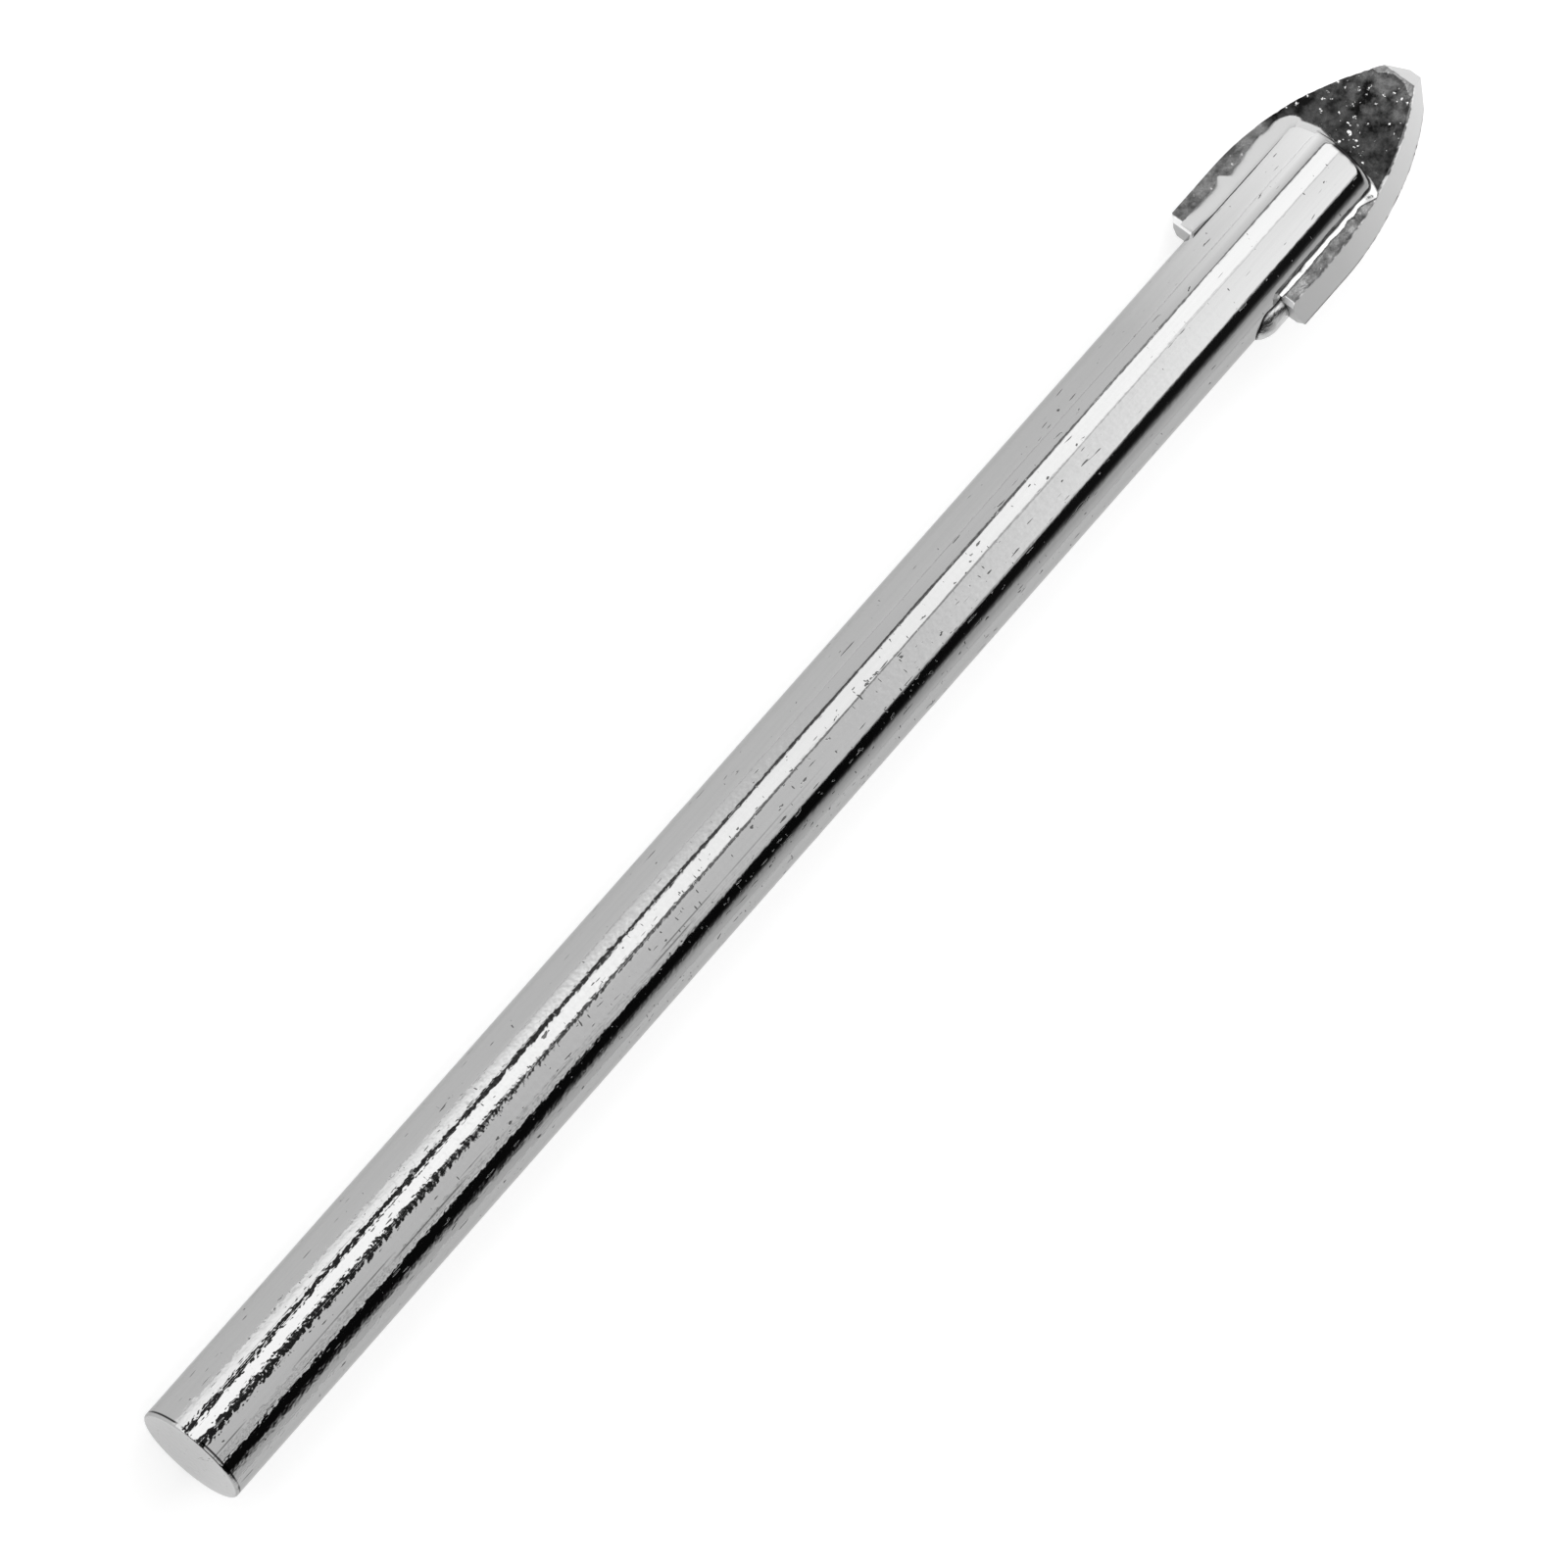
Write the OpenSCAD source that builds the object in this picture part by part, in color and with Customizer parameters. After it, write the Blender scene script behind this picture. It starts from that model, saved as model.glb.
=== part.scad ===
// Glass and tile drill bit: a plain round plated shank with a spear-shaped carbide plate brazed into its slot.
// The bit points along +X with its tail at the origin. Each piece is drawn with the flat of the plate facing +Z
// and one wing towards +Y, and is then rolled about X to where the bit lies, on its shank and on that wing.

/* [Shank] */
// Diameter of the plain round shank
shank_d = 4.1; // [3.4:0.1:4.6]
// Length of the whole bit, from the tail to the point
overall_l = 65.5; // [45:0.5:120]
// Radius of the broken edge round the tail
tail_edge_r = 0.1; // [0.05:0.05:0.4]
// Radius that rounds the end of each cheek
cheek_edge_r = 0.4; // [0.1:0.05:0.8]
// Angle at which the slotted head is dressed down towards its end
dress_angle = 0.4; // [0.2:0.1:1]
// How far below the braze run that dressing starts
dress_lead = 0.2; // [0.1:0.1:1]

/* [Carbide tip] */
// Diameter of the hole that the bit cuts, across the two cutting corners
head_d = 6; // [5.5:0.1:8]
// Thickness of the plate
tip_t = 1.27; // [0.9:0.01:1.6]
// Length of the plate, from its shoulders to the point
tip_l = 9.8; // [8:0.1:14]
// Length of the straight flanks above the shoulders
flank_l = 2.4; // [1:0.1:4]
// Angle at which both flanks are ground back behind their cutting edge
relief_angle = 18; // [8:1:25]
// Full angle between the two facets ground at the point
point_angle = 90; // [70:1:120]
// Length of the chisel edge where those facets meet
chisel_l = 0.46; // [0.1:0.02:0.8]
// Size of the pressed bevel along the shoulders and on their corners
shoulder_bevel = 0.2; // [0.05:0.05:0.3]

/* [Slot and braze] */
// How far the two cheeks of the slotted shank reach past the shoulders of the plate
grip_l = 5.4; // [3:0.1:6.5]
// Braze gap on each face of the plate and under it
braze_gap = 0.08; // [0.04:0.01:0.15]
// How far the braze fillet spreads over the plate
fillet_w = 0.3; // [0.1:0.05:0.5]
// How far the braze fillet climbs the shank and the end of the cheeks
fillet_h = 0.16; // [0.05:0.01:0.3]
// How far the fillets stop short of the rounded edge of the cheeks
fillet_stop = 0.08; // [0.02:0.02:0.2]
// Length of the braze run that hardened below one shoulder
run_l = 1.4; // [1:0.1:3]
// Radius of that run and of its round lower end
run_r = 0.9; // [0.6:0.01:1]
// How far that run stands out of the shank
run_h = 0.37; // [0.1:0.01:0.5]
// Where that run lies round the shank, turned from +Y towards +Z
run_angle = 188; // [170:1:200]

/* [Hidden] */
$fn = 96;

// How far cutting shapes run past what they cut
margin = 1;

shank_r = shank_d / 2;
shoulder_x = overall_l - tip_l;
cheek_end_x = shoulder_x + grip_l;
slot_w = tip_t + 2 * braze_gap;
slot_floor_x = shoulder_x - braze_gap;

// The dressed stretch narrows from the full shank to this radius, where the end of the cheeks starts to round
dress_x = shoulder_x - run_l - dress_lead;
round_x = cheek_end_x - cheek_edge_r;
cheek_r = shank_r - (round_x - dress_x) * tan(dress_angle);

// Half the width of the plate, so that its cutting corners lie on the cutting circle
wing_w = sqrt(pow(head_d / 2, 2) - pow(tip_t / 2, 2));
// The flanks are drawn square to their own ground face, which leans by the relief angle
flank_w = (wing_w - tip_t / 2 * tan(relief_angle)) * cos(relief_angle);
ogive_l = tip_l - flank_l;
// How far each flank closes in along its arc, from the straight stretch to the chisel edge
ogive_w = flank_w - chisel_l / 2 * cos(relief_angle);
ogive_r = (pow(ogive_l, 2) + pow(ogive_w, 2)) / (2 * ogive_w);

// The trailing corner of the +Y wing comes down to the floor under the shank at this roll
trail_y = wing_w - tip_t * tan(relief_angle);
rest_roll = asin(min(1, shank_r / norm([trail_y, tip_t / 2]))) - atan2(tip_t / 2, trail_y);

// Where the round wall of the shank meets the face of the plate, and how far the fillet may spread from there
seam_y = sqrt(pow(shank_r, 2) - pow(tip_t / 2, 2));
fillet_reach = min(fillet_w, trail_y - seam_y);
fillet_top_z = slot_w / 2 + fillet_h;
fillet_top_y = sqrt(pow(shank_r, 2) - pow(fillet_top_z, 2));
fillet_end_x = round_x - fillet_stop;
// The round end of the braze run is centred here, so that it comes out of the shank at the end of its length
run_ball_x = shoulder_x - run_l + sqrt(pow(run_r, 2) - pow(run_r - run_h, 2));
// Half the length of the fillet across the flat end of a cheek
nose_y = sqrt(pow(cheek_r - cheek_edge_r, 2) - pow(fillet_top_z, 2)) - fillet_stop;

// Half section of the round bar: radius against length, dressed at the head, with both end edges rounded
module bar_profile() {
    difference() {
        polygon([
            [0, 0], [shank_r, 0], [shank_r, dress_x],
            [cheek_r, round_x], [cheek_r, cheek_end_x], [0, cheek_end_x]
        ]);
        translate([shank_r, 0]) edge_waste(tail_edge_r, 1);
        translate([cheek_r, cheek_end_x]) edge_waste(cheek_edge_r, -1);
    }
}

// What rounding takes off an outer corner of the half section; up is 1 at the tail and -1 at the head
module edge_waste(r, up) {
    difference() {
        translate([-r, up > 0 ? -margin : -r]) square([r + margin, r + margin]);
        translate([-r, up * r]) circle(r);
    }
}

module bar() {
    rotate([0, 90, 0]) rotate_extrude() bar_profile();
}

// The space sawn across the head of the bar, open at its end and at both sides
module slot_space() {
    translate([slot_floor_x, -shank_r - margin, -slot_w / 2])
        cube([grip_l + braze_gap + margin, shank_d + 2 * margin, slot_w]);
}

module shank() {
    color("gainsboro") difference() {
        bar();
        slot_space();
    }
}

// Everything on the inner side of the +Y flank: straight above the shoulder, then one arc to the point
module flank_outline() {
    translate([-margin, -head_d]) square([flank_l + margin, head_d + flank_w]);
    intersection() {
        translate([flank_l, flank_w - ogive_r]) circle(ogive_r, $fn = 360);
        translate([flank_l, -head_d]) square([ogive_l + margin, 2 * head_d]);
    }
}

module ground_flank() {
    rotate([-relief_angle, 0, 0]) linear_extrude(2 * head_d, center = true) flank_outline();
}

// Wedge between the two facets of the point, from the chisel edge back past the shoulders
module point_wedge() {
    wedge_h = (tip_l + margin) * tan(point_angle / 2);
    rotate([90, 0, 0]) linear_extrude(2 * head_d, center = true)
        polygon([[tip_l, 0], [-margin, wedge_h], [-margin, -wedge_h]]);
}

// Bevel along the bottom edge of one face of the plate
module face_bevel() {
    translate([0, 0, tip_t / 2]) rotate([0, 45, 0])
        cube([shoulder_bevel * sqrt(2), 2 * head_d, shoulder_bevel * sqrt(2)], center = true);
}

// Bevel on the lower corner of one wing
module corner_bevel() {
    translate([0, wing_w, 0]) rotate([0, 0, 45])
        cube([shoulder_bevel * sqrt(2), shoulder_bevel * sqrt(2), 2 * head_d], center = true);
}

module carbide_tip() {
    color("dimgray") translate([shoulder_x, 0, 0]) difference() {
        intersection() {
            translate([0, -head_d, -tip_t / 2]) cube([tip_l + margin, 2 * head_d, tip_t]);
            ground_flank();
            rotate([180, 0, 0]) ground_flank();
            point_wedge();
        }
        for (turn = [0, 180]) {
            rotate([turn, 0, 0]) face_bevel();
            rotate([turn, 0, 0]) corner_bevel();
        }
    }
}

// Section of a fillet from its edge on the plate to its edge on the wall, drawn on into the wall and under it
module fillet_section(inner, edge, wall) {
    inside = wall + (wall - edge) / 2;
    polygon([[inner, edge[1]], edge, inside, [inner, inside[1]]]);
}

// Fillet between the +Y, +Z wall of the shank and the face of the plate
module seam_fillet() {
    translate([shoulder_x, 0, 0]) rotate([90, 0, 90]) linear_extrude(fillet_end_x - shoulder_x)
        fillet_section(seam_y / 2, [seam_y + fillet_reach, tip_t / 2], [fillet_top_y, fillet_top_z]);
}

// Fillet across the flat end of the +Z cheek
module nose_fillet() {
    translate([0, nose_y, 0]) rotate([90, 0, 0]) linear_extrude(2 * nose_y)
        fillet_section(fillet_end_x, [cheek_end_x + fillet_w, tip_t / 2], [cheek_end_x, fillet_top_z]);
}

// Half section of the braze run: a ball at its lower end and a straight stretch up to the bevel of the shoulder
module run_profile() {
    straight_l = shoulder_x + shoulder_bevel / 2 - run_ball_x;
    square([run_r, straight_l]);
    intersection() {
        circle(run_r);
        translate([0, -run_r]) square(run_r);
    }
}

// Braze that ran out of the slot and hardened under one shoulder
module braze_run() {
    rotate([run_angle, 0, 0]) translate([run_ball_x, shank_r + run_h - run_r, 0])
        rotate([0, 90, 0]) rotate_extrude() run_profile();
}

module braze() {
    color("lightgray") difference() {
        union() {
            intersection() {
                bar();
                slot_space();
            }
            for (side = [0, 1], face = [0, 1]) {
                mirror([0, side, 0]) mirror([0, 0, face]) seam_fillet();
            }
            for (face = [0, 1]) {
                mirror([0, 0, face]) nose_fillet();
            }
            braze_run();
        }
        carbide_tip();
        shank();
    }
}

module laid() {
    rotate([-rest_roll, 0, 0]) children();
}

laid() shank();
laid() carbide_tip();
laid() braze();
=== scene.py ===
import math

import bmesh
import bpy
import numpy as np
from mathutils import Matrix, Vector


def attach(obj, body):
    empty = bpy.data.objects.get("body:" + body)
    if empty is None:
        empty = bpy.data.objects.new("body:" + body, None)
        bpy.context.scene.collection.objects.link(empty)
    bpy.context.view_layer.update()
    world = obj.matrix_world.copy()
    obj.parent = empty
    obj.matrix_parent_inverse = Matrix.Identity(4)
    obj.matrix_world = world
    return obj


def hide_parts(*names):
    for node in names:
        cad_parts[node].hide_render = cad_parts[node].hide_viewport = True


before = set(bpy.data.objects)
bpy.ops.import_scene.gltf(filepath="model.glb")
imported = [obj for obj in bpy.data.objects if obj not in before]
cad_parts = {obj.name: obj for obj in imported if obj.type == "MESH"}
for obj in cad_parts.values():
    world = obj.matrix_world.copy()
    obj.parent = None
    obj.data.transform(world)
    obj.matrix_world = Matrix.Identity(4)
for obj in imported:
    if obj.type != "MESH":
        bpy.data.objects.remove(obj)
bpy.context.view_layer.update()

# Sizes in millimetres, in the drawn frame: +X to the point, +Z square to the plate, +Y along one wing.
LENGTH = 65.5
SHANK_R = 2.05
TAIL_EDGE = 0.1
CHEEK_EDGE = 0.4
DRESS_TAN = math.tan(math.radians(0.4))
DRESS_LEAD = 0.2
HEAD_R = 3.0
TIP_T = 1.27
TIP_L = 9.8
FLANK_L = 2.4
RELIEF = math.radians(18)
POINT_TAN = math.tan(math.radians(45))
CHISEL_L = 0.46
BEVEL = 0.2
GRIP_L = 5.4
GAP = 0.08
RUN_L = 1.4
RUN_R = 0.9
RUN_H = 0.37
RUN_ANGLE = math.radians(188)

SHOULDER_X = LENGTH - TIP_L
CHEEK_END_X = SHOULDER_X + GRIP_L
SLOT_Z = TIP_T / 2 + GAP
SLOT_X = SHOULDER_X - GAP
DRESS_X = SHOULDER_X - RUN_L - DRESS_LEAD
ROUND_X = CHEEK_END_X - CHEEK_EDGE
CHEEK_R = SHANK_R - (ROUND_X - DRESS_X) * DRESS_TAN
FACE_Z = TIP_T / 2
FACET_L = FACE_Z / POINT_TAN
WING = math.sqrt(HEAD_R**2 - FACE_Z**2)
TRAIL = WING - TIP_T * math.tan(RELIEF)
FLANK_W = (WING + TRAIL) / 2 * math.cos(RELIEF)
OGIVE_L = TIP_L - FLANK_L
OGIVE_W = FLANK_W - CHISEL_L / 2 * math.cos(RELIEF)
OGIVE_R = (OGIVE_L**2 + OGIVE_W**2) / (2 * OGIVE_W)
RUN_BALL_X = SHOULDER_X - RUN_L + math.sqrt(RUN_R**2 - (RUN_R - RUN_H)**2)

# The bit lies on its shank and on the trailing corner of the +Y wing.
ROLL = math.asin(SHANK_R / math.hypot(TRAIL, FACE_Z)) - math.atan2(FACE_Z, TRAIL)
LAY = np.array([
    [1, 0, 0],
    [0, math.cos(ROLL), math.sin(ROLL)],
    [0, -math.sin(ROLL), math.cos(ROLL)],
])
MM = 0.001
# How many random values a field has along each axis, and a wobbling line along itself, before they repeat
TABLE = 32
LINE_TABLE = 400


def field(points, cell, seed):
    """Smooth random values from -0.5 to 0.5 at the points, on cells of the given size."""
    table = np.random.default_rng(seed).random((TABLE,) * 3) - 0.5
    q = np.asarray(points, float) / cell
    base = np.floor(q).astype(int)
    part = q - base
    part = part * part * (3 - 2 * part)
    total = np.zeros(len(q))
    for corner in np.ndindex(2, 2, 2):
        weight = np.prod(np.where(np.array(corner) == 1, part, 1 - part), axis=1)
        at = (base + np.array(corner)) % TABLE
        total += weight * table[at[:, 0], at[:, 1], at[:, 2]]
    return total


def ramp(value, low, high):
    """0 below low, 1 above high, smooth between."""
    t = np.clip((np.asarray(value, float) - low) / (high - low), 0, 1)
    return t * t * (3 - 2 * t)


def hump(x, centre, width):
    """1 at the centre, falling away over the width."""
    return math.exp(-((x - centre) / width)**2)


class Shell:
    """Vertices and faces of one piece, gathered in millimetres in the drawn frame."""

    def __init__(self):
        self.points = []
        self.marks = []
        self.faces = []
        self.count = 0

    def add(self, points, mark=0.0):
        """Adds points, each with a mark that the material can read, and returns their indices."""
        points = np.asarray(points, float).reshape(-1, 3)
        first = self.count
        self.points.append(points)
        self.marks.append(np.broadcast_to(mark, len(points)))
        self.count += len(points)
        return list(range(first, self.count))

    def bridge(self, a, b):
        """Joins two rings of equal length with quads."""
        for i in range(len(a)):
            j = (i + 1) % len(a)
            self.faces.append((a[i], a[j], b[j], b[i]))

    def loft(self, rings):
        """Closed skin through the rings, with flat ends."""
        for a, b in zip(rings, rings[1:]):
            self.bridge(a, b)
        self.face(rings[0])
        self.face(rings[-1])

    def face(self, ring):
        self.faces.append(tuple(ring))

    def all_points(self):
        return np.concatenate(self.points)

    def build(self, name, material, sharp_deg, attributes):
        """Makes the object in metres, laid as the bit lies, with edges sharper than sharp_deg kept crisp."""
        mesh = bpy.data.meshes.new(name)
        laid = self.all_points() @ LAY.T * MM
        mesh.from_pydata(laid.tolist(), [], self.faces)
        for key, values in attributes.items():
            layer = mesh.attributes.new(key, "FLOAT", "POINT")
            layer.data.foreach_set("value", np.asarray(values, np.float32))
        skin = bmesh.new()
        skin.from_mesh(mesh)
        bmesh.ops.recalc_face_normals(skin, faces=skin.faces)
        skin.to_mesh(mesh)
        skin.free()
        mesh.polygons.foreach_set("use_smooth", [True] * len(mesh.polygons))
        mesh.set_sharp_from_angle(angle=math.radians(sharp_deg))
        piece = bpy.data.objects.new(name, mesh)
        bpy.context.scene.collection.objects.link(piece)
        mesh.materials.append(material)
        return piece


# Materials

class Nodes:
    """Short words for building one node tree."""

    def __init__(self, name):
        self.material = bpy.data.materials.new(name)
        self.material.use_nodes = True
        self.tree = self.material.node_tree
        self.shader = self.tree.nodes["Principled BSDF"]

    def new(self, kind, **settings):
        node = self.tree.nodes.new(kind)
        for key, value in settings.items():
            setattr(node, key, value)
        return node

    def link(self, a, b):
        self.tree.links.new(a, b)

    def put(self, socket, value):
        """Links an output to a socket, or sets a plain value on it."""
        if isinstance(value, bpy.types.NodeSocket):
            self.link(value, socket)
        else:
            socket.default_value = value

    def math(self, operation, a, b):
        node = self.new("ShaderNodeMath", operation=operation)
        self.put(node.inputs[0], a)
        self.put(node.inputs[1], b)
        return node.outputs[0]

    def vector(self, operation, a, b):
        node = self.new("ShaderNodeVectorMath", operation=operation)
        self.put(node.inputs[0], a)
        self.put(node.inputs[1], b)
        return node.outputs[0]

    def steps(self, value, stops):
        """A grey ramp: stops are (position, brightness)."""
        node = self.new("ShaderNodeValToRGB")
        ramp_stops = node.color_ramp.elements
        while len(ramp_stops) < len(stops):
            ramp_stops.new(1.0)
        for stop, (place, grey) in zip(ramp_stops, stops):
            stop.position = place
            stop.color = (grey, grey, grey, 1)
        self.put(node.inputs["Fac"], value)
        return node.outputs["Color"]

    def place(self, scale=(1, 1, 1)):
        """Object coordinates, with one wavelength of 1 / scale metres along each axis."""
        source = self.new("ShaderNodeTexCoord").outputs["Object"]
        return self.vector("MULTIPLY", source, scale)

    def axis(self, name, start, end):
        """How far a point lies between two places along an axis, given in millimetres."""
        split = self.new("ShaderNodeSeparateXYZ")
        self.link(self.place(), split.inputs[0])
        past = self.math("SUBTRACT", split.outputs[name], start * MM)
        return self.math("DIVIDE", past, (end - start) * MM)

    def turn(self):
        """Angle round the bit from +Y towards +Z, as a share of half a turn."""
        where = self.new("ShaderNodeSeparateXYZ")
        self.link(self.place(), where.inputs[0])
        return self.math("DIVIDE", self.math("ARCTAN2", where.outputs["Z"], where.outputs["Y"]), math.pi)

    def noise(self, scale, detail=2.0, rough=0.5, output="Fac"):
        node = self.new("ShaderNodeTexNoise")
        self.link(self.place(scale), node.inputs["Vector"])
        node.inputs["Scale"].default_value = 1.0
        node.inputs["Detail"].default_value = detail
        node.inputs["Roughness"].default_value = rough
        return node.outputs[output]

    def cells(self, scale, warp=0.0):
        """Voronoi cells, with their places shaken by a share of their size."""
        node = self.new("ShaderNodeTexVoronoi")
        shake = self.noise([2.5 * s for s in scale], detail=1.0, output="Color")
        shake = self.vector("SCALE", self.vector("SUBTRACT", shake, (0.5, 0.5, 0.5)), (0, 0, 0))
        shake.node.inputs["Scale"].default_value = warp
        self.link(self.vector("ADD", self.place(scale), shake), node.inputs["Vector"])
        node.inputs["Scale"].default_value = 1.0
        return node

    def bump(self, height, distance, normal=None):
        node = self.new("ShaderNodeBump")
        node.inputs["Strength"].default_value = 1.0
        node.inputs["Distance"].default_value = distance
        self.put(node.inputs["Height"], height)
        if normal is not None:
            self.link(normal, node.inputs["Normal"])
        return node.outputs["Normal"]

    def mix(self, factor, a, b):
        node = self.new("ShaderNodeMix", data_type="FLOAT")
        self.put(node.inputs["Factor"], factor)
        self.put(node.inputs["A"], a)
        self.put(node.inputs["B"], b)
        return node.outputs["Result"]

    def grey(self, value):
        """A brightness as a colour."""
        node = self.new("ShaderNodeCombineColor")
        for socket in node.inputs:
            self.link(value, socket)
        return node.outputs["Color"]

    def attribute(self, name):
        return self.new("ShaderNodeAttribute", attribute_name=name).outputs["Fac"]

    def set(self, socket, value):
        self.put(self.shader.inputs[socket], value)


def per_mm(x, y, z):
    """Scale for waves of the given lengths in millimetres."""
    return (1000 / x, 1000 / y, 1000 / z)


# Lines that the drawing die left towards the tail: angles from +Y in degrees, and the edges of a line
DIE_LINES = (86.0, 90.5)
DIE_EDGES = ((-0.9, 0.0), (-0.4, 1.0), (0.4, 1.0), (0.9, 0.0))
# Where the bar has more marks: along it, and round it as a share of half a turn
MARKED_ALONG = ((0.15, 0.0), (0.3, 0.05), (0.62, 0.05), (0.75, 0.0))
MARKED_ROUND = ((0.25, 0.0), (0.29, 1.0))
# How far the cut tail face reaches, where one side of the head gets a lighter base colour as painted
# reflection and where the carbide is paler
CUT_FACE_X = (0, 0.02)
PAINTED_SHEEN_X = (51, 61)
PAINTED_SHEEN_Y = (1.32, 1.56)
PALER_X = (62.5, 64.5)


def plated_steel():
    """Bright nickel plate over drawn bar: lengthwise lines, a rougher skin towards the tail, pits, ticks and
    short scratches, a few die lines, a cut tail face, and a painted reflection that lightens one side of the
    head."""
    n = Nodes("plated_steel")
    tailward = n.steps(n.axis("X", 0, LENGTH), [(0.06, 1.0), (0.3, 0.4), (0.5, 0.12)])
    more = n.steps(n.axis("X", 0, LENGTH), MARKED_ALONG)
    more = n.math("MULTIPLY", more, n.steps(n.turn(), MARKED_ROUND))
    dark_and_painted_shade = n.attribute("dark_and_painted_shade")
    peel = n.noise(per_mm(0.24, 0.19, 0.19), detail=1.0)
    grooves = n.steps(n.noise(per_mm(9.0, 0.08, 0.08), detail=1.0), [(0.56, 0.0), (0.64, 1.0)])
    lines = n.noise(per_mm(7.0, 0.12, 0.12), detail=2.0)
    waves = n.noise(per_mm(4.0, 0.8, 0.8), detail=1.0)
    pits = n.math("ADD", n.noise(per_mm(0.42, 0.2, 0.2), detail=2.5), more)
    pits = n.steps(pits, [(0.725, 0.0), (0.75, 1.0)])
    ticks = n.math("ADD", n.noise(per_mm(0.11, 0.34, 0.34), detail=1.0), more)
    ticks = n.steps(ticks, [(0.775, 0.0), (0.80, 1.0)])
    scratches = n.steps(n.noise(per_mm(0.7, 0.09, 0.09), detail=0.0), [(0.80, 0.0), (0.84, 1.0)])
    marks = n.math("MAXIMUM", n.math("MAXIMUM", pits, ticks), scratches)
    normal = n.bump(waves, 6e-6)
    normal = n.bump(lines, 1.3e-6, normal)
    normal = n.bump(n.math("MULTIPLY", grooves, tailward), -6e-7, normal)
    normal = n.bump(n.math("MULTIPLY", peel, tailward), 1.35e-5, normal)
    normal = n.bump(marks, -3e-6, normal)
    n.set("Normal", normal)
    n.set("Metallic", 1.0)
    # Painted reflection: the +Y side of the head gets a lighter base colour, standing in for the brighter
    # light it reflects.
    painted_sheen = n.math("MULTIPLY", n.steps(n.axis("X", *PAINTED_SHEEN_X), [(0.0, 0.0), (1.0, 1.0)]),
                    n.steps(n.axis("Y", *PAINTED_SHEEN_Y), [(0.0, 0.0), (1.0, 1.0)]))
    cut_face = n.steps(n.axis("X", *CUT_FACE_X), [(0.0, 1.0), (1.0, 0.0)])
    metal = n.mix(painted_sheen, n.mix(lines, 0.385, 0.415), n.mix(lines, 0.66, 0.69))
    metal = n.mix(cut_face, metal, 0.62)
    metal = n.mix(marks, metal, 0.1)
    die_lines = n.steps(n.turn(), [((a + off) / 180, grey) for a in DIE_LINES for off, grey in DIE_EDGES])
    broken = n.steps(n.noise(per_mm(5.0, 0.3, 0.3), detail=1.0), [(0.50, 0.0), (0.56, 1.0)])
    fading = n.steps(n.axis("X", 0, LENGTH), [(0.35, 1.0), (0.5, 0.0)])
    die_lines = n.math("MULTIPLY", n.math("MULTIPLY", die_lines, broken), fading)
    metal = n.mix(die_lines, metal, 0.12)
    # Painted shade and painted reflection from the mesh: a dark line behind the tail rim and the dark band
    # round the cheek end.
    n.set("Base Color", n.grey(n.mix(dark_and_painted_shade, metal, 0.02)))
    n.set("Specular Tint", (0.75, 0.75, 0.75, 1))
    n.set("Roughness", n.mix(marks, n.mix(waves, 0.04, 0.08), 0.3))
    return n.material


def carbide():
    """Sintered carbide: dark and grainy where pressed, with painted glints as bright specks, and satin where
    ground.
    """
    n = Nodes("carbide")
    ground = n.attribute("ground")
    dark = n.attribute("dark")
    clouds = n.noise(per_mm(0.6, 0.6, 0.6), detail=4.0, rough=0.6)
    grains = n.cells(per_mm(0.12, 0.12, 0.12), warp=0.5)
    fine = n.noise(per_mm(0.05, 0.05, 0.05), detail=3.0, rough=0.6)
    wheel = n.noise(per_mm(0.03, 0.9, 0.9), detail=2.0)
    # Painted glints: bright specks in the base colour of the pressed face, standing in for grains catching
    # the light.
    glint_cells = n.cells(per_mm(0.21, 0.21, 0.21), warp=1.0)
    chosen = n.steps(glint_cells.outputs["Color"], [(0.68, 0.0), (0.70, 1.0)])
    glint_dots = n.steps(glint_cells.outputs["Distance"], [(0.10, 1.0), (0.27, 0.0)])
    painted_glints = n.math("MULTIPLY", n.math("MULTIPLY", glint_dots, chosen), n.mix(dark, 0.3, 1.0))
    cloud = n.steps(clouds, [(0.36, 0.0), (0.66, 1.0)])
    pointward = n.steps(n.axis("X", *PALER_X), [(0.0, 0.06), (1.0, 0.15)])
    pressed = n.mix(dark, n.mix(cloud, 0.09, 0.28), n.mix(cloud, 0.006, pointward))
    pressed = n.mix(painted_glints, pressed, 0.85)
    satin = n.mix(n.axis("X", SHOULDER_X, LENGTH), 0.42, 0.6)
    satin = n.mix(dark, satin, 0.95)
    n.set("Base Color", n.grey(n.mix(ground, pressed, satin)))
    n.set("Metallic", 1.0)
    n.set("Roughness", n.mix(ground, n.mix(fine, 0.2, 0.4), 0.34))
    rough_side = n.math("SUBTRACT", 1.0, ground)
    grain_height = n.math("MULTIPLY", n.mix(0.4, grains.outputs["Distance"], fine), rough_side)
    normal = n.bump(grain_height, 3e-5)
    normal = n.bump(n.math("MULTIPLY", wheel, ground), 1e-6, normal)
    n.set("Normal", normal)
    return n.material


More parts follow.
